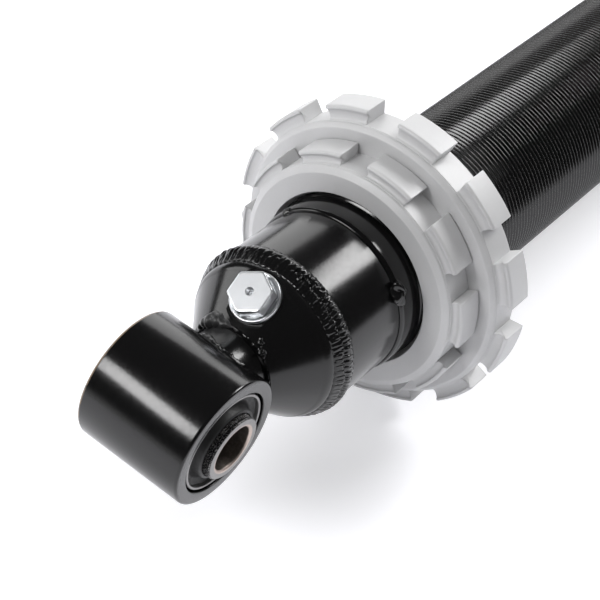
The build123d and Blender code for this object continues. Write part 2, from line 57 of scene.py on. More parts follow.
# Places along the damper, from the frame
CAP_FACE_X = ends_x("base_cap")[0]
BODY_WELD_X = ends_x("body_weld")[0]
TUBE_START_X, TUBE_END_X = ends_x("body_tube")
SLEEVE_START_X, SLEEVE_END_X = ends_x("threaded_sleeve")
LOCK_RING_X, PERCH_X = ends_x("lock_ring")
END_CAP_START_X, END_CAP_END_X = ends_x("end_cap")
WIPER_START_X, WIPER_END_X = ends_x("wiper")
ROD_START_X, ROD_END_X = ends_x("piston_rod")
ROD_SHOULDER_X = ends_x("topout_spacer")[0]
BUMP_START_X, BUMP_END_X = ends_x("bump_stop")
BUMP_WASHER_END_X = ends_x("bump_washer")[1]
EYE_OUTER_R = ends_x("lower_eye")[1]
UPPER_EYE_X = ends_x("upper_eye")[1] - EYE_OUTER_R

# Sizes that several pieces share
EYE_HALF_LENGTH = 15.4
EYE_BORE_R = 13.9
NECK_R = 10.6
TUBE_R = 22.8
TUBE_BORE_R = 20.0
THREAD_CREST_R = 24.0
PERCH_OUTER_R = 43.92
ROD_R = 7.0
ROD_THREAD_R = 6.0
WIPER_R = 11.0


# Shapes

def one_round(steps):
    """A full turn in even steps, as one row of angles."""
    return np.linspace(0, FULL_TURN, steps, endpoint=False)[None, :]


def round_axis(along, radius, turn):
    """Points round the damper's axis: (along, radius cos turn, radius sin turn)."""
    along, radius, turn = np.broadcast_arrays(along, radius, turn)
    return np.stack([along, radius * np.cos(turn), radius * np.sin(turn)], axis=-1)


def round_bolt(along, radius, turn, bolt_x):
    """Points round an eye bolt's axis: (bolt + radius sin turn, along, radius cos turn)."""
    along, radius, turn = np.broadcast_arrays(along, radius, turn)
    return np.stack([radius * np.sin(turn) + bolt_x, along, radius * np.cos(turn)], axis=-1)


def turned(outline, steps, bolt_x=None):
    """Grid of points: each outline point (along, radius) goes round the damper's axis or an eye bolt's."""
    outline = np.asarray(outline, float)
    if bolt_x is None:
        return round_axis(outline[:, :1], outline[:, 1:2], one_round(steps))
    return round_bolt(outline[:, :1], outline[:, 1:2], one_round(steps), bolt_x)


def eased(corners, count=4):
    """Outline of corners (along, radius, ease): each corner becomes the parabola that starts `ease` before
    it and ends `ease` after it."""
    corners = np.asarray(corners, float)
    here = corners[:, :2]
    before = np.roll(here, 1, axis=0) - here
    after = np.roll(here, -1, axis=0) - here
    ease = corners[:, 2:3]
    before_length = np.linalg.norm(before, axis=1, keepdims=True)
    after_length = np.linalg.norm(after, axis=1, keepdims=True)
    most = 0.48
    start = here + before / before_length * np.minimum(ease, before_length * most)
    end = here + after / after_length * np.minimum(ease, after_length * most)
    t = np.linspace(0, 1, count + 1)[None, :, None]
    curve = (1 - t) ** 2 * start[:, None] + 2 * t * (1 - t) * here[:, None] + t ** 2 * end[:, None]
    return curve.reshape(-1, 2)


def mirrored(half):
    """Corners (along, radius, ease) of one half of a piece, then those of its mirror image, backwards."""
    return list(half) + [(-along, radius, ease) for along, radius, ease in reversed(half)]


def woven(rows, columns, close_rows=True):
    """Four-sided faces between neighbouring points of a grid that closes round its columns."""
    index = np.arange(rows * columns).reshape(rows, columns)
    right = np.roll(index, -1, axis=1)
    below = np.roll(index, -1, axis=0)
    corner = np.roll(right, -1, axis=0)
    faces = np.stack([index, right, corner, below], axis=-1)
    if not close_rows:
        faces = faces[:-1]
    return faces.reshape(-1, 4)


def unevenness(turn, along, seed, rounds=(2, 60), waves=1.5, count=48):
    """Random heights, about -1 to 1: a sum of cosines that each fit a whole number of times round."""
    random = np.random.default_rng(seed)
    total = np.zeros(np.broadcast(turn, along).shape)
    for times, slope, phase in zip(
        random.integers(rounds[0], rounds[1], count),
        random.uniform(-waves, waves, count),
        random.uniform(0, FULL_TURN, count),
    ):
        total += np.cos(times * turn + slope * along + phase)
    usual_peak = 1.6 * math.sqrt(count / 2)
    return total / usual_peak


def smoothed(value):
    """Zero below 0, one above 1 and the cubic 3v2 - 2v3 between."""
    value = np.clip(value, 0, 1)
    return value * value * (3 - 2 * value)


def hump(turn, middle_deg, half_width_deg):
    """One at the middle turn, falling to zero over the half width on both sides."""
    away = np.abs(np.mod(turn - math.radians(middle_deg) + np.pi, FULL_TURN) - np.pi)
    return smoothed(1 - away / math.radians(half_width_deg))


# Meshes and pieces

def tidied(mesh, sharp_deg, join=True):
    """Joins double points where asked, turns all faces outwards and leaves edges past the angle sharp."""
    work = bmesh.new()
    work.from_mesh(mesh)
    if join:
        bmesh.ops.remove_doubles(work, verts=work.verts, dist=0.002 * MM)
        bmesh.ops.dissolve_degenerate(work, edges=work.edges, dist=0.0001 * MM)
    bmesh.ops.recalc_face_normals(work, faces=work.faces)
    work.to_mesh(mesh)
    work.free()
    mesh.shade_smooth()
    mesh.set_sharp_from_angle(angle=math.radians(sharp_deg))
    return mesh


def quad_mesh(name, points, quads, sharp_deg):
    flat = np.asarray(points, np.float64).reshape(-1, 3) * MM
    mesh = bpy.data.meshes.new(name)
    mesh.vertices.add(len(flat))
    mesh.vertices.foreach_set("co", flat.astype(np.float32).ravel())
    mesh.loops.add(quads.size)
    mesh.loops.foreach_set("vertex_index", quads.astype(np.int32).ravel())
    mesh.polygons.add(len(quads))
    mesh.polygons.foreach_set("loop_start", np.arange(0, quads.size, 4, dtype=np.int32))
    mesh.update(calc_edges=True)
    return tidied(mesh, sharp_deg)


def in_scene(name, data):
    made = bpy.data.objects.new(name, data)
    bpy.context.scene.collection.objects.link(made)
    return made


def piece_of(mesh, material, body, node):
    """One piece with its mesh's name: it rides on its body and stands for its CAD node."""
    made = in_scene(mesh.name, mesh)
    mesh.materials.append(material)
    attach(made, body)
    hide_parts(node)
    return made


def piece(name, grids, material, body, node, sharp_deg=34.0):
    """One piece made of one or more grids, each of (points, faces)."""
    points = [np.asarray(grid_points, float).reshape(-1, 3) for grid_points, _ in grids]
    starts = np.cumsum([0] + [len(block) for block in points])
    faces = [grid_faces + start for (_, grid_faces), start in zip(grids, starts)]
    mesh = quad_mesh(name, np.concatenate(points), np.concatenate(faces), sharp_deg)
    return piece_of(mesh, material, body, node)


def ring_grid(outline, steps, bolt_x=None):
    return turned(outline, steps, bolt_x), woven(len(outline), steps)


def turned_piece(name, corners, material, body, node, steps=224, ease_count=4):
    return piece(name, [ring_grid(eased(corners, ease_count), steps)], material, body, node)


def flat_faces_stay_flat(made):
    """Shades each point by its largest faces, so that only the roundings between them catch the light."""
    weighted = made.modifiers.new("flat faces", "WEIGHTED_NORMAL")
    weighted.keep_sharp = True
    weighted.weight = 90


# Finishes

class Nodes:
    """The node tree of a material or a world, and short ways to add to it."""

    def __init__(self, owner):
        owner.use_nodes = True
        self.tree = owner.node_tree

    def node(self, kind, **settings):
        made = self.tree.nodes.new(kind)
        for key, value in settings.items():
            setattr(made, key, value)
        return made

    def put(self, value, target):
        """Links a socket to the target, or sets a number or a colour there."""
        if isinstance(value, bpy.types.NodeSocket):
            self.tree.links.new(value, target)
        elif isinstance(value, tuple):
            target.default_value = (*value, 1)
        else:
            target.default_value = value

    def maths(self, operation, *values):
        """One Math node; each value is a socket or a number."""
        made = self.node("ShaderNodeMath", operation=operation)
        for number, value in enumerate(values):
            self.put(value, made.inputs[number])
        return made.outputs["Value"]

    def between(self, value, low, high, to_low=0.0, to_high=1.0):
        """Value mapped from low..high to to_low..to_high and held at the ends."""
        made = self.node("ShaderNodeMapRange")
        for number, setting in enumerate((value, low, high, to_low, to_high)):
            self.put(setting, made.inputs[number])
        return made.outputs["Result"]

    def split(self, vector):
        """The three sockets X, Y and Z of a vector."""
        parts = self.node("ShaderNodeSeparateXYZ")
        self.put(vector, parts.inputs["Vector"])
        return parts.outputs


class Finish(Nodes):
    """A material with one shader, and short ways to add what varies over the surface."""

    def __init__(self, name, **sockets):
        self.material = bpy.data.materials.new(name)
        super().__init__(self.material)
        self.shader = self.tree.nodes["Principled BSDF"]
        for socket, value in sockets.items():
            self.shader.inputs[socket.replace("_", " ")].default_value = value
        self.place = self.node("ShaderNodeTexCoord").outputs["Object"]
        self.height = None

    def stretched(self, x, y, z):
        """The place on the piece with each direction scaled."""
        mapping = self.node("ShaderNodeMapping")
        mapping.inputs["Scale"].default_value = (x, y, z)
        self.put(self.place, mapping.inputs["Vector"])
        return mapping.outputs["Vector"]

    def speckle(self, size_mm, detail=3.0, place=None):
        """Noise whose patches are about size_mm across."""
        noise = self.node("ShaderNodeTexNoise")
        noise.inputs["Scale"].default_value = 1 / (size_mm * MM)
        noise.inputs["Detail"].default_value = detail
        noise.inputs["Roughness"].default_value = 0.55
        self.put(place or self.place, noise.inputs["Vector"])
        return noise.outputs["Fac"]

    def patches(self, size_mm, detail, low, high):
        """Noise spread out over low to high."""
        return self.between(self.speckle(size_mm, detail), 0.3, 0.7, low, high)

    def past(self, length, start_mm, full_mm):
        """Zero before the start, one past the full length, in millimetres; it may also run backwards."""
        return self.between(length, start_mm * MM, full_mm * MM)

    def over(self, share, under, colour):
        """Colour laid where share is one over `under`, which is a colour or a socket."""
        made = self.node("ShaderNodeMix", data_type="RGBA")
        self.put(share, made.inputs[0])
        self.put(under, made.inputs[6])
        self.put(colour, made.inputs[7])
        return made.outputs[2]

    def colour(self, socket):
        self.put(socket, self.shader.inputs["Base Color"])

    def dullness(self, socket):
        self.put(socket, self.shader.inputs["Roughness"])

    def relief(self, height, depth_mm, strength):
        """Adds a bump of the given depth over the ones already there."""
        bump = self.node("ShaderNodeBump")
        bump.inputs["Strength"].default_value = strength
        bump.inputs["Distance"].default_value = depth_mm * MM
        self.put(height, bump.inputs["Height"])
        if self.height is not None:
            self.put(self.height, bump.inputs["Normal"])
        self.height = bump.outputs["Normal"]
        self.put(self.height, self.shader.inputs["Normal"])

    def distance_from_point(self, x, y, z):
        """Distance in metres from one point, given in millimetres."""
        away = self.node("ShaderNodeVectorMath", operation="DISTANCE")
        self.put(self.place, away.inputs[0])
        away.inputs[1].default_value = (x * MM, y * MM, z * MM)
        return away.outputs["Value"]

    def distance_from_axis(self, bolt_x=None):
        """Distance in metres from the damper's axis, or from the bolt's axis of the eye at bolt_x."""
        parts = self.split(self.place)
        first = parts["Y"] if bolt_x is None else self.maths("SUBTRACT", parts["X"], bolt_x * MM)
        second = parts["Z"]
        squares = [self.maths("MULTIPLY", part, part) for part in (first, second)]
        return self.maths("SQRT", self.maths("ADD", *squares))


def stove_enamel(name):
    """Thick glossy black enamel with faint orange peel: the finish, its clouded colour and its roughness."""
    look = Finish(name, IOR=1.5)
    look.relief(look.speckle(0.8, 1.0), 0.008, 0.6)
    clouded = look.over(look.speckle(9.0), (0.0022, 0.0021, 0.0023), (0.0034, 0.0033, 0.0036))
    return look, clouded, look.patches(1.0, 4.0, 0.15, 0.20)


def black_enamel():
    """Stove enamel as it is all over the damper."""
    look, clouded, rough = stove_enamel("black_enamel")
    look.colour(clouded)
    look.dullness(rough)
    return look.material


def enamel_worn_with_painted_reflection_at_the_end():
    """Stove enamel with a painted reflection on the eye's machined end faces, which are a lighter grey, and
    rubbed through to brown primer and steel on the edge of its far end."""
    look, clouded, rough = stove_enamel("enamel_worn_with_painted_reflection_at_the_end")
    across = look.split(look.place)["Y"]
    far_end = look.past(across, 14.65, 14.85)
    rubbed = look.maths("MULTIPLY", far_end, look.between(look.speckle(1.4), 0.36, 0.50, 0.35, 1.0))
    # The end faces are painted a lighter grey: a painted reflection.
    painted_reflection_on_ends = look.past(look.maths("ABSOLUTE", across), 15.30, 15.38)
    with_painted_reflection = look.over(painted_reflection_on_ends, clouded, (0.060, 0.060, 0.063))
    look.colour(look.over(rubbed, with_painted_reflection, (0.23, 0.17, 0.115)))
    look.dullness(look.maths("ADD", rough, look.maths("MULTIPLY", rubbed, 0.25)))
    return look.material


def enamel_over_spatter_with_painted_sheen():
    """Black enamel, dull and grainy where the neck's weld is built up over spatter, and glossy elsewhere;
    there its colour is also a lighter grey: a painted sheen.
    """
    look = Finish("enamel_over_spatter_with_painted_sheen", Metallic=0.0, IOR=1.5)
    built_up_with_painted_sheen = look.past(look.distance_from_point(18.0, 6.4, 12.4), 8.0, 4.5)
    clouded = look.over(look.speckle(7.0, 2.0), (0.0022, 0.0022, 0.0024), (0.0034, 0.0033, 0.0035))
    # Lighter grey on the built-up side of the weld: a painted sheen.
    look.colour(look.over(built_up_with_painted_sheen, clouded, (0.024, 0.024, 0.025)))
    glossy = look.patches(2.5, 3.0, 0.14, 0.20)
    look.dullness(look.maths("ADD", glossy, look.maths("MULTIPLY", built_up_with_painted_sheen, 0.26)))
    look.relief(look.speckle(0.8, 2.0), 0.010, 0.5)
    return look.material


def black_thread():
    """Hard black coating, rubbed to dull grey along the thread's crests."""
    look = Finish("black_thread", IOR=1.5)
    crest = look.past(look.distance_from_axis(), 23.8, THREAD_CREST_R)
    rubbed = look.between(look.speckle(3.0, 4.0), 0.35, 0.75)
    worn = look.maths("MULTIPLY", crest, look.maths("MULTIPLY_ADD", rubbed, 0.5, 0.25))
    look.colour(look.over(worn, (0.0020, 0.0019, 0.0021), (0.040, 0.038, 0.037)))
    look.dullness(look.patches(1.0, 3.0, 0.12, 0.18))
    look.relief(look.speckle(0.8, 1.0), 0.004, 0.5)
    return look.material


def satin_aluminium():
    """Bead-blasted and clear-anodised aluminium: fine even grain with faint clouding."""
    look = Finish("satin_aluminium", Metallic=0.42, IOR=1.3, Coat_Weight=0.22, Coat_Roughness=0.3)
    look.colour(look.over(look.speckle(12.0, 4.0), (0.60, 0.60, 0.605), (0.66, 0.66, 0.665)))
    look.dullness(look.patches(0.5, 2.0, 0.60, 0.68))
    look.relief(look.speckle(0.14, 2.0), 0.004, 0.6)
    return look.material


def zinc_steel():
    """Bright zinc plate with fine rubbing marks and a slightly milky cast."""
    look = Finish("zinc_steel", Metallic=1.0)
    look.colour(look.over(look.speckle(2.5, 4.0), (0.72, 0.74, 0.76), (0.80, 0.81, 0.83)))
    look.dullness(look.patches(1.2, 4.0, 0.33, 0.38))
    look.relief(look.speckle(0.8, 1.0), 0.0008, 0.3)
    return look.material


def bush_steel(name, bolt_x):
    """Turned steel: tool rings on the end faces, a pale cut edge, a brown oiled bore, and outside a film of
    rubber that fills the pressed serrations and leaves bright specks of bare steel."""
    look = Finish(name, Metallic=1.0)
    radius = look.distance_from_axis(bolt_x)
    steel = look.over(look.speckle(1.6, 4.0), (0.22, 0.215, 0.215), (0.33, 0.325, 0.325))
    cut_edge = look.maths("MULTIPLY", look.past(radius, 7.0, 6.7), look.past(radius, 6.0, 6.12))
    edged = look.over(cut_edge, steel, (0.50, 0.42, 0.38))
    oiled = look.between(look.speckle(0.9), 0.35, 0.55, 0.75, 1.0)
    bore = look.maths("MULTIPLY", look.past(radius, 6.18, 6.08), oiled)
    bored = look.over(bore, edged, (0.155, 0.135, 0.12))
    outside = look.maths("MULTIPLY", look.past(radius, 8.25, 8.4), look.past(radius, 9.0, 8.8))
    film = look.maths("MULTIPLY", outside, look.between(look.speckle(0.28, 2.0), 0.60, 0.50))
    look.colour(look.over(film, bored, (0.012, 0.012, 0.012)))
    look.dullness(look.patches(0.5, 3.0, 0.38, 0.52))
    # One tool ring about every quarter of a millimetre
    ring_waves = 26000.0
    look.relief(look.maths("SINE", look.maths("MULTIPLY", radius, ring_waves)), 0.003, 0.4)
    look.relief(look.speckle(0.25, 2.0), 0.010, 0.5)
    return look.material


def moulded_rubber(name, shade, grain_mm, grain_depth):
    """Dull moulded rubber with a fine grain and grey bloom in patches."""
    look = Finish(name, IOR=1.5)
    bloom = look.between(look.speckle(4.0, 4.0), 0.4, 0.75)
    look.colour(look.over(bloom, (shade, shade, shade), (shade * 1.9, shade * 1.9, shade * 2.0)))
    look.dullness(look.patches(0.7, 3.0, 0.42, 0.60))
    look.relief(look.speckle(grain_mm, 2.0), grain_depth, 0.7)
    return look.material


def bump_foam():
    """Closed-cell bump stop foam, pitted with small open cells whose bottoms are painted darker: painted
    shade.
    """
    look = Finish("bump_foam", IOR=1.45)
    cells_per_metre = 1900.0
    cells = look.node("ShaderNodeTexVoronoi")
    cells.inputs["Scale"].default_value = cells_per_metre
    look.put(look.place, cells.inputs["Vector"])
    pits_with_painted_shade = look.between(cells.outputs["Distance"], 0.0, 0.55)
    # Pit bottoms darker: painted shade.
    look.colour(look.over(pits_with_painted_shade, (0.010, 0.010, 0.010), (0.028, 0.028, 0.027)))
    look.dullness(look.patches(2.0, 3.0, 0.70, 0.85))
    look.relief(pits_with_painted_shade, 0.12, 0.6)
    return look.material


def turned_metal(name, dark, light, rough_low, rough_high, metallic=1.0):
    """Metal turned on a lathe: fine rings along the damper's axis and slight clouding."""
    look = Finish(name, Metallic=metallic)
    look.colour(look.over(look.speckle(5.0, 4.0), dark, light))
    look.dullness(look.patches(0.9, 3.0, rough_low, rough_high))
    look.relief(look.speckle(0.16, 2.0, look.stretched(1.0, 0.02, 0.02)), 0.004, 0.5)
    return look.material


enamel = black_enamel()
thread_black = black_thread()
aluminium = satin_aluminium()
zinc = zinc_steel()
lower_steel = bush_steel("bush_steel", 0.0)
upper_steel = bush_steel("bush_steel_upper", UPPER_EYE_X)
bush_rubber = moulded_rubber("bush_rubber", 0.011, 0.5, 0.02)
seal_rubber = moulded_rubber("seal_rubber", 0.009, 0.8, 0.008)
foam = bump_foam()
chrome = turned_metal("hard_chrome", (0.50, 0.51, 0.53), (0.58, 0.59, 0.61), 0.10, 0.18)
machined = turned_metal("machined_aluminium", (0.68, 0.69, 0.70), (0.80, 0.80, 0.81), 0.22, 0.36)
sintered = turned_metal("sintered_steel", (0.16, 0.16, 0.17), (0.26, 0.26, 0.27), 0.45, 0.62)
springy = turned_metal("spring_steel", (0.28, 0.30, 0.33), (0.40, 0.41, 0.43), 0.18, 0.30)
bronze = turned_metal("bronze", (0.36, 0.22, 0.10), (0.50, 0.33, 0.17), 0.28, 0.42)
nylon = turned_metal("topout_nylon", (0.66, 0.63, 0.55), (0.76, 0.74, 0.67), 0.38, 0.50, 0.0)


# Lower eye, and the bushes, which are the same at both ends
eye_corners = mirrored([(-EYE_HALF_LENGTH, EYE_BORE_R, 0.3), (-EYE_HALF_LENGTH, EYE_OUTER_R, 0.85)])
piece("lower_eye_painted", [ring_grid(eased(eye_corners, 5), 224, 0.0)], enamel_worn_with_painted_reflection_at_the_end(), "body",
      "lower_eye")


def shell_corners():
    """Steel shell whose ends are drawn in to a lip."""
    outer_r = EYE_BORE_R - 0.02
    neck_r, lip_r, bore_r = 13.42, 13.3, 12.62
    half_length = EYE_HALF_LENGTH - 0.4
    return mirrored([
        (-half_length, bore_r, 0.2), (-half_length, lip_r, 0.25), (-half_length + 1.4, neck_r, 0.3),
        (-half_length + 2.1, outer_r, 0.3),
    ])


def rubber_corners():
    """Rubber that stands out round the core and dips in a dish before it meets the shell."""
    inner_r, dish_r, outer_r = 8.72, 11.3, 12.6
    return mirrored([
        (-15.9, inner_r, 0.2), (-15.8, 9.5, 0.5), (-13.4, 10.3, 1.2), (-12.9, dish_r, 1.0),
        (-14.0, outer_r, 0.3),
    ])


def core_grid(bolt_x):
    """The core's outside is pressed with fine crossed serrations near both ends: there its radius dips by
    the product of two slanted cosine waves. Chamfers and the bore close it."""
    outer_r, bore_r, dip = 8.62, 6.06, 0.24
    half_length, edge_y = 17.8, 17.35
    smooth_y, pressed_y = 13.6, 13.8
    waves_round, waves_along = 80, 5.2
    steps = 480
    half = np.concatenate([np.linspace(0, smooth_y, 3), np.linspace(14.0, edge_y, 20)])
    along = np.concatenate([-half[::-1], half])[:, None]
    turn = one_round(steps)
    mark = np.cos(waves_round * turn + waves_along * along) * np.cos(waves_round * turn - waves_along * along)
    bite = smoothed((np.abs(along) - pressed_y) / 0.6) * smoothed((edge_y - np.abs(along)) / 0.35)
    side = round_bolt(along, outer_r - dip * bite * (0.5 + 0.5 * mark), turn, bolt_x)
    ends = eased(mirrored([(half_length, 8.45, 0.3), (half_length, 6.5, 0.18), (edge_y, bore_r, 0.25)]), 3)
    points = np.concatenate([side, turned(ends, steps, bolt_x)])
    return points, woven(len(points), steps)


for place, bolt_x, body, core_body, steel in (
    ("lower", 0.0, "body", "lower_core", lower_steel),
    ("upper", UPPER_EYE_X, "rod", "upper_core", upper_steel),
):
    piece(place + "_bush_shell_lipped", [ring_grid(eased(shell_corners(), 3), 192, bolt_x)], steel, body,
          place + "_bush_shell")
    piece(place + "_bush_rubber_moulded", [ring_grid(eased(rubber_corners()), 192, bolt_x)], bush_rubber,
          body, place + "_bush_rubber", 60.0)
    piece(place + "_bush_core_serrated", [core_grid(bolt_x)], steel, core_body,
          place + "_bush_core", 40.0)


# Neck between the lower eye and the cap, with its two lumpy weld beads
NECK_WALL = 3.0
NECK_SINK = 0.8
EYE_LUMP_TURN = 70.0
LUMP_TURN = 52.0
FAR_LUMP_TURN = 124.0


def saddle_x(turn, radius):
    """X of the eye's outside over a point of the neck: the eye is a cylinder about Y."""
    return np.sqrt(EYE_OUTER_R ** 2 - (radius * np.sin(turn)) ** 2)


def spread_at_cap(turn):
    """How far the weld metal spreads up the cap's cone, in millimetres of radius."""
    return 0.8 + 0.3 * hump(turn, LUMP_TURN, 40.0) + 0.3 * hump(turn, FAR_LUMP_TURN, 30.0)


def neck_grid():
    """The neck's radius is even and swells into the cap by the spread of the weld there, as the share of its
    length to the fifth power; its foot follows the saddle of the eye. Two more rows make its bore."""
    steps = 320
    turn = one_round(steps)
    share = np.linspace(0, 1, 36)[:, None]
    spread = spread_at_cap(turn)
    foot = saddle_x(turn, NECK_R) - NECK_SINK
    along = foot + (CAP_FACE_X + 0.4 + 0.75 * spread - foot) * share
    lump_height = smoothed(share * 1.6) * (0.02 + 0.10 * hump(turn, LUMP_TURN, 40.0))
    lumps = unevenness(turn, share, 17, (3, 22), 4.0) * lump_height
    outside = round_axis(along, NECK_R + spread * share ** 5 + lumps, turn)
    bore_r = NECK_R - NECK_WALL
    far = round_axis(along[-1:], bore_r, turn)
    near = round_axis(saddle_x(turn, bore_r) - NECK_SINK, bore_r, turn)
    points = np.concatenate([outside, far, near])
    return points, woven(len(points), steps)


def bead_grid(path_x, path_r, size, seed, rough):
    """A bead round the neck: a closed roll whose centre follows (path_x, path_r). Its size swells from lump
    to lump by a ripple wave and by random unevenness. All three are rows over the same full turn."""
    steps, around = 480, 22
    ripples = 36
    turn = one_round(steps)
    roll = one_round(around).T
    phase = ripples * turn / FULL_TURN + 0.35 * np.cos(roll) + 0.3 * unevenness(turn, 0 * roll, seed, (2, 12))
    step = 1 - np.mod(phase, 1.0) ** 2.2
    lumps = 1 + 0.16 * step + rough * unevenness(turn, roll, seed + 1, (3, 40), 2.0)
    half_width = size * lumps
    points = round_axis(path_x + half_width * np.cos(roll), path_r + 0.8 * half_width * np.sin(roll), turn)
    return points, woven(around, steps)


def weld_drop(along, turn_deg, height, sizes, seed, rough):
    """A drop of weld metal: latitude rings of a flattened ball with random unevenness, laid at a turn and
    height. Its sizes are half its length, width and thickness."""
    rings, steps = 22, 48
    around = one_round(steps)
    tilt = np.linspace(0.02, np.pi - 0.02, rings)[:, None]
    lumpy = 1 + rough * unevenness(around, tilt, seed, (1, 6), 3.0)
    length, width, thickness = np.array(sizes)[:, None, None] * lumpy
    sideways = width * np.sin(tilt) * np.sin(around)
    up = height + thickness * np.cos(tilt)
    turn = math.radians(turn_deg)
    points = np.stack([
        along + length * np.sin(tilt) * np.cos(around),
        up * math.cos(turn) - sideways * math.sin(turn),
        up * math.sin(turn) + sideways * math.cos(turn),
    ], axis=-1)
    return points, woven(rings, steps, close_rows=False)


def neck_weld_grids():
    """The bead on the eye's side, the larger bead on the cap and two drops of metal beside it."""
    turn = one_round(480)
    spread = spread_at_cap(turn)
    eye_bead = bead_grid(saddle_x(turn, NECK_R + 0.2) + 0.05, NECK_R - 0.1 + 0.3 * hump(turn, 56.0, 40.0),
                         0.62 + 0.5 * hump(turn, EYE_LUMP_TURN, 30.0), 11, 0.34)
    swell = 0.25 * hump(turn, FAR_LUMP_TURN, 26.0) + 1.45 * hump(turn, 50.0, 38.0)
    cap_bead = bead_grid(CAP_FACE_X + 0.25 + 0.8 * spread, NECK_R + 0.35 + spread, 0.62 + swell, 23, 0.15)
    near_drop = weld_drop(CAP_FACE_X + 2.0, 117.0, 12.9, (1.0, 1.1, 0.9), 43, 0.2)
    far_drop = weld_drop(CAP_FACE_X + 0.9, 128.0, 12.4, (1.3, 1.2, 1.0), 44, 0.2)
    return [eye_bead, cap_bead, near_drop, far_drop]


spatter_enamel_with_painted_sheen = enamel_over_spatter_with_painted_sheen()
piece("neck_painted", [neck_grid()], spatter_enamel_with_painted_sheen, "body", "neck")
piece("neck_weld_beads", neck_weld_grids(), spatter_enamel_with_painted_sheen, "body", "neck_welds", 80.0)


# Weld ring between the cap and the tube
def body_weld_grid():
    """Height over the bead's foot line is a half sine across it plus scales: each is nearly flat and ends in
    a steep step, lies straight across the bead and bends round at the tube's side. Where the welder wove, a
    lengthwise valley parts the scales and they break up into lumps."""
    ripples, steps_each = 84, 16
    cap_r, tube_side_r = 21.75, 22.95
    weave_turn, valley_turn = 118.0, 150.0
    steps = ripples * steps_each
    turn = one_round(steps)
    share = np.linspace(0, 1, 31)[:, None]
    wander = unevenness(turn, 0 * share, 5, (2, 9))
    wobble = unevenness(turn, 0 * share, 6, (20, 90))
    wove = 0.12 + 0.88 * hump(turn, weave_turn, 46.0)
    parted = smoothed(2.5 * hump(turn, valley_turn, 75.0) + 0.25 * wander)
    valley_at = 0.46 + 0.06 * unevenness(turn, 0 * share, 15, (4, 40))
    # Phase of the scales: how they crowd round the ring, bend at the tube and slip past the valley
    phase = ripples * turn / FULL_TURN - 3.0 * np.sin(turn - 0.87) + 0.40 * wander
    phase = phase - 0.35 * share - 1.2 * share ** 3.5
    phase = phase + 0.45 * parted * smoothed((share - valley_at + 0.05) / 0.10)
    phase = phase + (0.10 + 0.22 * wove) * unevenness(turn, share, 9, (12, 80), 5.0)
    saw = np.mod(phase, 1.0)
    scale = smoothed(saw / 0.16) * (1 - 0.75 * saw ** 1.6)
    dome = np.sin(np.pi * share) ** 0.5
    valley = 1 - 0.35 * parted * np.exp(-((share - valley_at) / 0.07) ** 2)
    lumps = (0.03 + 0.21 * wove) * unevenness(turn, share, 12, (40, 130), 11.0, 80)
    fine = 0.02 * (1 - wove) * unevenness(turn, share, 13, (100, 260), 20.0, 80)
    height = dome * (valley * (0.62 + (0.20 + 0.14 * wove) * scale) + fine + lumps + 0.04 * wobble)
    start_x = BODY_WELD_X + 0.16 * wander + 0.10 * wobble
    end_x = BODY_WELD_X + 5.9 + 0.12 * wander - 0.06 * wobble + 0.40 * scale[-1:]
    foot_r = cap_r + (tube_side_r - cap_r) * smoothed(share * 1.25)
    skin = round_axis(start_x + (end_x - start_x) * share, foot_r + 1.15 * height, turn)
    inside_r = 21.0
    under = turned([
        (BODY_WELD_X + 6.45, 22.4), (BODY_WELD_X + 4.4, 22.0), (BODY_WELD_X + 1.4, inside_r),
        (BODY_WELD_X, inside_r),
    ], steps)
    points = np.concatenate([skin, under])
    return points, woven(len(points), steps)


piece("body_weld_ripples", [body_weld_grid()], enamel, "body", "body_weld", 80.0)

# Body tube, with the snap ring's groove near its far end
GROOVE_R = 21.2
GROOVE_START_X = TUBE_END_X - 6.0
GROOVE_END_X = TUBE_END_X - 4.0
turned_piece("body_tube_painted", [
    (TUBE_START_X + 0.4, 20.6, 0.1), (TUBE_START_X + 0.4, 21.6, 0.1), (TUBE_START_X + 2.4, TUBE_R, 0.3),
    (TUBE_END_X, TUBE_R, 0.6), (TUBE_END_X, TUBE_BORE_R, 0.2), (GROOVE_END_X, TUBE_BORE_R, 0.1),
    (GROOVE_END_X, GROOVE_R, 0.1), (GROOVE_START_X, GROOVE_R, 0.1), (GROOVE_START_X, TUBE_BORE_R, 0.1),
    (TUBE_START_X + 4.4, TUBE_BORE_R, 0.1),
], enamel, "body", "body_tube", 256)


# Threaded sleeve: a plain band, then a right-hand thread whose crest and root ride one helix
SLEEVE_BORE_R = 22.86
SLEEVE_BAND_R = 23.6
THREAD_PITCH = 1.5
THREAD_START_X = SLEEVE_START_X + 6.2
THREAD_TURNS = 118
THREAD_STEPS = 130


def faces_between(near, far):
    """Four-sided faces between two rows of point numbers."""
    return np.stack([near[:-1], near[1:], far[1:], far[:-1]], axis=-1).reshape(-1, 4)


def fan(centre, rim):
    """Triangles between one point and a row of others."""
    return np.stack([np.full(len(rim) - 1, centre), rim[:-1], rim[1:]], axis=-1)


def closed(row):
    return np.append(row, row[0])


def thread_strip():
    """Profile points wound along the helix x = start + pitch * turns. Over the first and last turn the
    thread's height grows from the plain band's and falls back to it."""
    profile_x = np.array([0.0, 0.42, 0.60, 0.75, 0.90, 1.08])
    below_crest = np.array([0.88, 0.20, 0.05, 0.0, 0.05, 0.20])
    turns = np.arange(THREAD_TURNS * THREAD_STEPS + 1)[:, None] / THREAD_STEPS
    grow = smoothed(turns) * smoothed(THREAD_TURNS - turns)
    radius = SLEEVE_BAND_R + (THREAD_CREST_R - below_crest - SLEEVE_BAND_R) * grow
    return round_axis(THREAD_START_X + THREAD_PITCH * turns + profile_x, radius, FULL_TURN * turns)


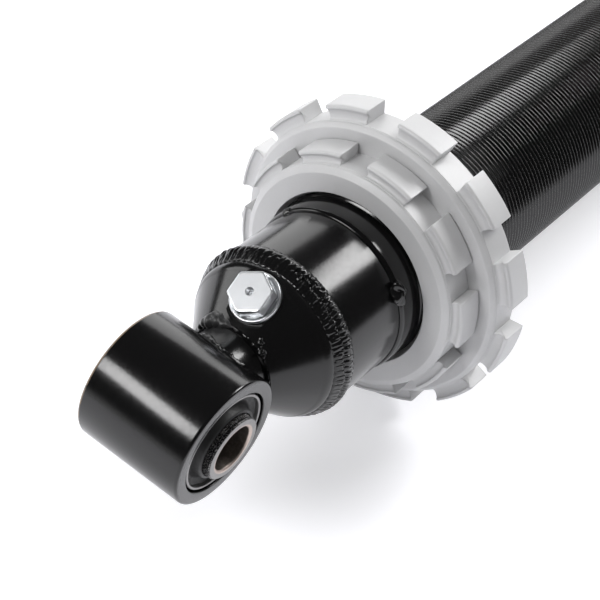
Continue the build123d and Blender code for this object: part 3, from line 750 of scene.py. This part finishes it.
def threaded_sleeve_mesh():
    """The thread's strip, whose last column is joined to the first of the next turn, between plain rows that
    have one column for each step of the helix."""
    steps = THREAD_STEPS
    strip = thread_strip()
    start_x, end_x = SLEEVE_START_X, SLEEVE_END_X
    before = turned([
        (start_x, SLEEVE_BORE_R), (start_x, 23.0), (start_x + 0.2, 23.25), (start_x + 0.8, 23.55),
        (start_x + 1.15, SLEEVE_BAND_R), (start_x + 5.8, SLEEVE_BAND_R),
    ], steps)
    thread_end_x = THREAD_START_X + THREAD_PITCH * (THREAD_TURNS + 1)
    after = turned([
        (thread_end_x + 0.4, SLEEVE_BAND_R), (end_x - 0.6, SLEEVE_BAND_R), (end_x - 0.15, 23.4),
        (end_x, 23.1), (end_x, SLEEVE_BORE_R),
    ], steps)
    index = np.arange(strip.shape[0] * strip.shape[1]).reshape(strip.shape[:2])
    before_start = index.size
    before_index = before_start + np.arange(len(before) * steps).reshape(-1, steps)
    after_start = before_start + before_index.size
    after_index = after_start + np.arange(len(after) * steps).reshape(-1, steps)
    quads = np.concatenate([
        faces_between(index[:, :-1], index[:, 1:]),
        faces_between(index[:-steps, -1], index[steps:, 0]),
        before_start + woven(len(before), steps, close_rows=False),
        after_start + woven(len(after), steps, close_rows=False),
        # The bore, and the plain rows' edges against the first and the last turn
        faces_between(closed(after_index[-1]), closed(before_index[0])),
        faces_between(closed(before_index[-1]), index[:steps + 1, 0]),
        faces_between(closed(after_index[0]), index[-steps - 1:, -1]),
    ])
    # The small steps where the strip starts and ends
    fans = np.concatenate([
        fan(before_index[-1][0], np.append(index[0], index[steps, 0])),
        fan(after_index[0][0], np.append(index[-steps - 1, -1], index[-1])),
    ])
    points = np.concatenate([block.reshape(-1, 3) for block in (strip, before, after)])
    mesh = bpy.data.meshes.new("threaded_sleeve_wound")
    mesh.from_pydata((points * MM).tolist(), [], quads.tolist() + fans.tolist())
    return tidied(mesh, 70.0, join=False)


piece_of(threaded_sleeve_mesh(), thread_black, "body", "threaded_sleeve")

# Tack welds: flattened drops of weld metal, half on the tube and half on the sleeve's edge
piece("sleeve_tack_beads", [
    weld_drop(SLEEVE_START_X + 0.8, turn_deg, TUBE_R + 0.1, (size, 1.35 * size, 0.8 * size), seed, 0.16)
    for turn_deg, size, seed in ((41.5, 1.3, 31), (145.0, 2.6, 32), (268.0, 1.7, 33))
], enamel, "body", "sleeve_tack_welds", 80.0)


# Castellated collars, measured from their front faces
COLLAR_THICKNESS = PERCH_X - LOCK_RING_X
COLLAR_BORE_R = THREAD_CREST_R + 0.05
COLLAR_MOUTH_R = 25.0
TOOTH_EDGE_R = 0.26


def tooth_outline(rim_r, floor_r, outer_r, back_gap):
    """Outline through a tooth: mouth chamfer, flat face, a rim slope of 45 degrees up to the slots' floor
    with a fine turned line, a half oval cove in the tooth's front, a quarter oval lip, crest and back."""
    swing = np.linspace(0, np.pi, 11)
    cove_low, cove_high = floor_r + 0.08, outer_r - 0.95
    cove_x = 1.62 + 0.22 * swing / np.pi + 0.75 * np.sin(swing)
    cove_r = 0.5 * (cove_low + cove_high) - 0.5 * (cove_high - cove_low) * np.cos(swing)
    rise = np.linspace(0, np.pi / 2, 8)
    lip_x = 1.82 + 0.85 * (1 - np.cos(rise))
    lip_r = outer_r - 0.80 * (1 - np.sin(rise))
    back = COLLAR_THICKNESS
    tooth_back = back - back_gap
    return np.concatenate([
        [(2.0, COLLAR_BORE_R), (1.1, COLLAR_MOUTH_R - 0.05), (0.15, COLLAR_MOUTH_R),
         (0, COLLAR_MOUTH_R + 0.2)],
        [(0, rim_r - 1.35), (0, rim_r - 1.05), (0.07, rim_r - 0.88), (0.22, rim_r - 0.72)],
        [(0.85, floor_r - 0.42), (1.15, floor_r - 0.20), (1.42, floor_r - 0.10), (1.50, floor_r - 0.16),
         (1.56, floor_r - 0.05)],
        np.stack([cove_x, cove_r], axis=-1),
        np.stack([lip_x, lip_r], axis=-1),
        [(3.3, outer_r), (tooth_back - 0.55, outer_r), (tooth_back - 0.3, outer_r),
         (tooth_back - 0.05, outer_r - 0.1), (tooth_back, outer_r - 0.3), (tooth_back, outer_r - 0.5),
         (tooth_back, floor_r + 0.25), (back, floor_r - 0.05), (back, floor_r - 0.25)],
    ])


def slot_outline(tooth, floor_r):
    """The tooth's outline with all that stands over the slot's floor spread out along it."""
    slot = tooth.copy()
    over = np.nonzero(tooth[:, 1] > floor_r)[0]
    slot[over, 1] = floor_r
    slot[over, 0] = np.linspace(tooth[over[0], 0], COLLAR_THICKNESS - 0.25, len(over))
    return slot


def back_outline(shoulder_length, shoulder_r):
    """The way back to the bore: over the spring's shoulder, where there is one, or straight down."""
    back, bore = COLLAR_THICKNESS, COLLAR_BORE_R
    end = back + shoulder_length
    if not shoulder_length:
        return [(back, bore + 0.5), (back - 0.5, bore)]
    return [(back, shoulder_r + 0.1), (back + 0.2, shoulder_r), (end - 0.8, shoulder_r),
            (end - 0.15, shoulder_r - 0.75), (end, shoulder_r - 1.1), (end, bore + 0.6), (end - 0.6, bore)]


def wall_outlines(tooth, floor_r, slot_width):
    """The tooth's outline near a slot's parallel wall, from the wall inwards: it is drawn in by a quarter
    circle of the edge radius. Each comes with its turn from the slot's middle, asin(distance / radius)."""
    lean = np.roll(tooth, -1, axis=0) - np.roll(tooth, 1, axis=0)
    lean[0], lean[-1] = tooth[1] - tooth[0], tooth[-1] - tooth[-2]
    inward = np.stack([lean[:, 1], -lean[:, 0]], axis=-1) / np.linalg.norm(lean, axis=1, keepdims=True)
    drawn_in = smoothed((tooth[:, 1:2] - floor_r) / 0.5)
    walls = []
    for angle in np.linspace(0, np.pi / 2, 4):
        shape = tooth + inward * TOOTH_EDGE_R * (1 - np.sin(angle)) * drawn_in
        from_middle = slot_width / 2 + TOOTH_EDGE_R * (1 - np.cos(angle))
        walls.append((shape, np.arcsin(np.clip(from_middle / shape[:, 1], -1, 1))))
    return walls


def collar_grid(front_x, rim_r, floor_r, outer_r, teeth, slot_width, tooth_turn_deg, back_gap=0.0,
                shoulder_length=0.0, shoulder_r=0.0):
    """Two outlines with paired points, the tooth's and the slot's, are carried round in turn. A slot's walls
    are parallel, so each point's turn from the slot's middle is asin(half width / radius)."""
    cells_tooth, cells_slot = 12, 5
    tooth = tooth_outline(rim_r, floor_r, outer_r, back_gap)
    tail = back_outline(shoulder_length, shoulder_r)
    slot = np.concatenate([slot_outline(tooth, floor_r), tail])
    tooth = np.concatenate([tooth, tail])
    half_slot = np.arcsin(np.clip(slot_width / 2 / slot[:, 1], -1, 1))
    walls = wall_outlines(tooth, floor_r, slot_width)
    half = walls[-1][1]
    columns = []
    for number in range(teeth):
        slot_turn = math.radians(tooth_turn_deg + (number + 0.5) * 360 / teeth)
        next_turn = slot_turn + FULL_TURN / teeth
        for share in np.linspace(-1, 1, cells_slot + 1):
            columns.append((slot, slot_turn + half_slot * share))
        for shape, from_slot in walls:
            columns.append((shape, slot_turn + from_slot))
        for share in np.linspace(0, 1, cells_tooth + 1)[1:-1]:
            columns.append((tooth, (slot_turn + half) * (1 - share) + (next_turn - half) * share))
        for shape, from_slot in reversed(walls):
            columns.append((shape, next_turn - from_slot))
    x = np.stack([outline[:, 0] for outline, _ in columns], axis=1)
    r = np.stack([outline[:, 1] for outline, _ in columns], axis=1)
    turn = np.stack([turn for _, turn in columns], axis=1)
    return round_axis(front_x + x, r, turn), woven(len(tooth), len(columns))


lock_ring = collar_grid(LOCK_RING_X, rim_r=31.5, floor_r=32.45, outer_r=35.65, teeth=10, slot_width=8.1,
                        tooth_turn_deg=60.9, back_gap=0.35)
spring_perch = collar_grid(PERCH_X, rim_r=39.6, floor_r=39.9, outer_r=PERCH_OUTER_R, teeth=12, slot_width=9.2,
                           tooth_turn_deg=65.46, shoulder_length=6.0, shoulder_r=29.6)
for node, grid in (("lock_ring", lock_ring), ("spring_perch", spring_perch)):
    flat_faces_stay_flat(piece(node + "_milled", [grid], aluminium, node, node, 50.0))


# Filling plug and its washer, standing square on the cap's cone
CONE_START_R = 12.1
CONE_SLOPE = math.atan2(20.4 - CONE_START_R, 11.0)
PLUG_ALONG_CONE = 7.3
PLUG_SINK = 0.8
PLUG_TURN = math.radians(85.0)
PLUG_SHANK_R = 3.0
PLUG_UP = Vector((-math.sin(CONE_SLOPE), math.cos(CONE_SLOPE) * math.cos(PLUG_TURN),
                  math.cos(CONE_SLOPE) * math.sin(PLUG_TURN)))
PLUG_FOOT_R = CONE_START_R + PLUG_ALONG_CONE * math.tan(CONE_SLOPE)
PLUG_SEAT = Vector((CAP_FACE_X + PLUG_ALONG_CONE, PLUG_FOOT_R * math.cos(PLUG_TURN),
                    PLUG_FOOT_R * math.sin(PLUG_TURN)))
PLUG_FOOT = PLUG_SEAT - PLUG_SINK * PLUG_UP
PLUG_SIDE = (Vector((0, 1, 0)) - PLUG_UP.y * PLUG_UP).normalized()
PLUG_ACROSS = PLUG_UP.cross(PLUG_SIDE)


def on_plug(height, radius, turn):
    """Points at a height over the plug's seat, a distance from its axis and a turn about it."""
    height, radius, turn = np.broadcast_arrays(height, radius, turn)
    return (np.array(PLUG_FOOT) + height[..., None] * np.array(PLUG_UP)
            + (radius * np.cos(turn))[..., None] * np.array(PLUG_SIDE)
            + (radius * np.sin(turn))[..., None] * np.array(PLUG_ACROSS))


def plug_grid():
    """Rows from the shank up over the hexagon: a row's radius is the hexagon's at that turn, or the
    turned-off chamfer's where that is less; the top dips into a punched dimple."""
    flat_r, chamfer_r = 5.1, 5.45
    low, top = 1.4, 5.2
    hex_turn = math.radians(32.0)
    chamfer = math.radians(28.0)
    turn = one_round(240)
    beside_flat = np.mod(turn - hex_turn, np.pi / 3) - np.pi / 6
    hexagon = np.minimum(flat_r / np.cos(beside_flat), flat_r / math.cos(np.pi / 6) - 0.06)
    top_r = np.minimum(hexagon - 0.22, chamfer_r)
    fall = (hexagon - top_r) * math.tan(chamfer)
    rows = [
        (0.3, PLUG_SHANK_R), (low, PLUG_SHANK_R), (low, hexagon - 0.25), (low + 0.25, hexagon),
        (top - fall - 0.12, hexagon), (top - fall, hexagon - 0.04), (top - fall * 0.5, (hexagon + top_r) / 2),
        (top - 0.04, top_r + 0.02), (top, top_r - 0.08), (top, top_r - 0.25), (top, 3.0), (top, 1.3),
        (top, 1.12), (top - 0.05, 1.02), (top - 0.35, 0.85), (top - 0.9, 0.55), (top - 1.05, 0.3),
        (top - 0.85, 0.02),
    ]
    points = np.concatenate([on_plug(height, radius, turn) for height, radius in rows])
    return points, woven(*points.shape[:2], close_rows=False)


def washer_grid():
    """A round washer with a rolled outer edge and a face that dips towards the hexagon."""
    bore_r = PLUG_SHANK_R + 0.1
    outline = eased([
        (0.0, bore_r, 0.1), (0.0, 6.5, 0.3), (0.75, 6.65, 0.35), (1.4, 6.45, 0.3), (1.32, 5.9, 0.2),
        (1.05, 5.5, 0.3), (1.2, bore_r, 0.1),
    ])
    points = on_plug(outline[:, :1], outline[:, 1:2], one_round(160))
    return points, woven(*points.shape[:2])


flat_faces_stay_flat(piece("fill_plug_hexagon", [plug_grid()], zinc, "body", "fill_plug", 24.0))
piece("fill_plug_washer_rolled", [washer_grid()], zinc, "body", "fill_plug_washer")

# Rod end, outside the photograph
ROD_SPIGOT_R = 5.0
turned_piece("piston_rod_polished", [
    (ROD_START_X, 0.0, 0.0), (ROD_START_X, ROD_SPIGOT_R - 0.6, 0.1), (ROD_START_X + 0.6, ROD_SPIGOT_R, 0.2),
    (ROD_SHOULDER_X, ROD_SPIGOT_R, 0.1), (ROD_SHOULDER_X, ROD_R, 0.1), (BUMP_END_X, ROD_R, 0.1),
    (BUMP_END_X, ROD_THREAD_R, 0.1), (ROD_END_X - 0.8, ROD_THREAD_R, 0.1),
    (ROD_END_X, ROD_THREAD_R - 0.8, 0.1), (ROD_END_X, 0.0, 0.0),
], chrome, "rod", "piston_rod", 128, 2)

END_CAP_BORE_R = 8.6
END_CAP_FACE_X = END_CAP_END_X - 0.5
turned_piece("end_cap_painted", [
    (END_CAP_START_X, END_CAP_BORE_R, 0.1), (END_CAP_START_X, TUBE_BORE_R, 0.1),
    (TUBE_END_X, TUBE_BORE_R, 0.1), (TUBE_END_X, TUBE_R, 0.2), (END_CAP_END_X, TUBE_R, 0.8),
    (END_CAP_END_X, 18.0, 0.3),
    (END_CAP_FACE_X, 17.4, 0.3), (END_CAP_FACE_X, 13.0, 0.3), (END_CAP_END_X, 12.4, 0.3),
    (END_CAP_END_X, WIPER_R, 0.2), (WIPER_START_X, WIPER_R, 0.1), (WIPER_START_X, END_CAP_BORE_R, 0.1),
], enamel, "body", "end_cap")
turned_piece("wiper_lipped", [
    (WIPER_START_X, END_CAP_BORE_R - 0.3, 0.2), (WIPER_START_X, WIPER_R, 0.2), (END_CAP_END_X, WIPER_R, 0.2),
    (END_CAP_END_X + 0.2, 9.4, 0.4), (WIPER_END_X, 7.9, 0.2), (WIPER_END_X, ROD_R + 0.1, 0.2),
    (END_CAP_END_X + 0.1, ROD_R + 0.04, 0.2),
], seal_rubber, "body", "wiper", 160)

BUMP_WASHER_R = 19.0
turned_piece("bump_washer_rolled", [
    (BUMP_END_X, ROD_THREAD_R, 0.1), (BUMP_END_X, BUMP_WASHER_R, 0.6),
    (BUMP_WASHER_END_X, BUMP_WASHER_R, 0.6), (BUMP_WASHER_END_X, ROD_THREAD_R, 0.1),
], zinc, "rod", "bump_washer")


def bump_stop_outline():
    """Three rolls of the foam stop: the outside swells and draws in along it, to its widest at the washer."""
    rolls = 3
    bore_r, end_r, most_r = ROD_R + 0.05, 8.2, 15.9
    share = np.linspace(0, 1, 61)
    swell = 1.5 * np.abs(np.sin(np.pi * rolls * (0.02 + 0.96 * share))) ** 0.7
    radius = np.minimum(10.3 + 5.0 * share + swell - 0.6, most_r) * smoothed(0.45 + share * 12)
    start_x = BUMP_START_X + 0.3
    side = np.stack([start_x + (BUMP_END_X - start_x) * share, np.maximum(radius, end_r)], axis=-1)
    return np.concatenate([side, [(BUMP_END_X, bore_r), (BUMP_START_X, bore_r), (BUMP_START_X, end_r - 0.2)]])


piece("bump_stop_rolls", [ring_grid(bump_stop_outline(), 160)], foam, "rod", "bump_stop", 50.0)

# CAD nodes that keep their shape and get the finish of their kind
kept_finish = {
    "base_cap": enamel, "upper_eye": enamel, "lock_nut": zinc, "snap_ring": zinc, "piston_nut": zinc,
    "floating_piston": machined, "rod_guide": machined, "piston": sintered, "rebound_shims": springy,
    "compression_shims": springy, "floating_piston_ring": seal_rubber, "guide_seal": seal_rubber,
    "rod_seal": seal_rubber, "guide_bush": bronze, "piston_band": bronze, "topout_spacer": nylon,
}
for node, finish in kept_finish.items():
    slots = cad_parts[node].data.materials
    slots.clear()
    slots.append(finish)


# Floor, lamps and camera
WHITE = (1, 1, 1)


def floor_finish():
    """White paper: it takes the shadow, and camera and mirror rays see it a little brighter."""
    material = bpy.data.materials.new("studio_floor")
    look = Nodes(material)
    look.tree.nodes.clear()
    rays = look.node("ShaderNodeLightPath").outputs
    seen = look.maths("MAXIMUM", rays["Is Camera Ray"], rays["Is Glossy Ray"])
    through = look.maths("MAXIMUM", seen, rays["Is Transmission Ray"])
    paper = look.node("ShaderNodeBsdfDiffuse")
    look.put((0.885, 0.885, 0.925), paper.inputs["Color"])
    glow = look.node("ShaderNodeEmission")
    look.put(WHITE, glow.inputs["Color"])
    look.put(look.maths("MULTIPLY", through, 0.36), glow.inputs["Strength"])
    both = look.node("ShaderNodeAddShader")
    look.put(paper.outputs[0], both.inputs[0])
    look.put(glow.outputs[0], both.inputs[1])
    look.put(both.outputs[0], look.node("ShaderNodeOutputMaterial").inputs["Surface"])
    return material


def floor_disc():
    """A wide disc under the damper: it touches the perch's teeth and the upper eye, so it slopes by four
    degrees. Most of it lies behind the damper, so that the lower eye mirrors its near edge at the bolt's
    height."""
    rest_r = PERCH_OUTER_R + 0.03
    rest_x = PERCH_X + 5.0
    slope = math.asin((rest_r - EYE_OUTER_R) / (UPPER_EYE_X - rest_x))
    touch_x = rest_x + rest_r * math.sin(slope)
    touch_z = -rest_r * math.cos(slope) - 0.3
    centre_x, centre_y = 537.0, -310.0
    hub_r, edge_r = 1.0, 900.0
    steps = 96
    turn = one_round(steps)
    radius = np.array([hub_r, edge_r])[:, None]
    x = centre_x + radius * np.cos(turn)
    y = centre_y + radius * np.sin(turn)
    points = np.stack([x, y, touch_z + (x - touch_x) * math.tan(slope)], axis=-1)
    mesh = quad_mesh("studio_floor", points, woven(2, steps, close_rows=False), 30.0)
    made = in_scene("studio_floor", mesh)
    mesh.materials.append(floor_finish())


floor_disc()


def lamp(name, azimuth_deg, elevation_deg, distance, width, height, power):
    """A soft box that looks at the cap from this direction; azimuth goes from +X towards +Y. Its distance,
    width and height are in metres and its power in watts."""
    light = bpy.data.lights.new(name, "AREA")
    light.shape = "RECTANGLE"
    light.size = width
    light.size_y = height
    light.energy = power
    made = in_scene(name, light)
    azimuth = math.radians(azimuth_deg)
    elevation = math.radians(elevation_deg)
    towards = Vector((math.cos(azimuth) * math.cos(elevation), math.sin(azimuth) * math.cos(elevation),
                      math.sin(elevation)))
    looks_at = Vector((0.05, 0.0, 0.0))
    made.location = looks_at + towards * distance
    made.rotation_mode = "QUATERNION"
    made.rotation_quaternion = towards.to_track_quat("Z", "Y")


lamp("soft_box_behind", -15, 45, 1.3, 0.56, 0.36, 8.8)
lamp("soft_box_left", 153, 33.5, 1.3, 0.50, 0.38, 7.8)
lamp("soft_box_far", 42, 20, 1.5, 1.0, 0.85, 6.5)
lamp("soft_box_side", 104, 17, 1.5, 0.6, 0.8, 4.3)
lamp("soft_box_middle", 10, 24, 1.5, 0.55, 0.55, 2.9)


def studio_world():
    """White where the camera looks past the floor. Mirror rays see white low down and a dim ceiling above,
    and the soft light from all round grows with height."""
    world = bpy.data.worlds.new("studio")
    bpy.context.scene.world = world
    sky = Nodes(world)
    sky.tree.nodes.clear()
    height = sky.split(sky.node("ShaderNodeTexCoord").outputs["Generated"])["Z"]
    rays = sky.node("ShaderNodeLightPath").outputs

    def background(strength):
        shade = sky.node("ShaderNodeBackground")
        sky.put(WHITE, shade.inputs["Color"])
        sky.put(strength, shade.inputs["Strength"])
        return shade.outputs[0]

    def chosen(share, first, second):
        mix = sky.node("ShaderNodeMixShader")
        for number, value in enumerate((share, first, second)):
            sky.put(value, mix.inputs[number])
        return mix.outputs[0]

    soft = background(sky.between(height, 0.0, 1.0, 0.12, 0.66))
    glossy = background(sky.between(height, -0.22, -0.06, 1.0, 0.07))
    mirrors = sky.maths("MAXIMUM", rays["Is Glossy Ray"], rays["Is Transmission Ray"])
    seen = chosen(rays["Is Camera Ray"], chosen(mirrors, soft, glossy), background(1.0))
    sky.put(seen, sky.node("ShaderNodeOutputWorld").inputs["Surface"])


studio_world()

# Camera at the photograph's place and angle, both fitted to it; the lens is for a sensor 36 mm wide
camera_data = bpy.data.cameras.new("camera")
camera_data.lens = 102.93
camera_data.sensor_width = 36.0
camera_data.clip_start = 0.02
camera_data.clip_end = 20.0
camera = in_scene("camera", camera_data)
image_right = Vector((0.60418839, -0.77582189, 0.18181526))
image_down = Vector((-0.45838344, -0.5250293, -0.71709752))
looks_along = Vector((0.65179829, 0.34992089, -0.67284052))
camera_place = Vector((-0.234134, -0.150830, 0.295345))
turned_camera = Matrix((image_right, -image_down, -looks_along)).transposed().to_4x4()
turned_camera.translation = camera_place
camera.matrix_world = turned_camera
bpy.context.scene.camera = camera
bpy.context.scene.view_settings.view_transform = "Standard"
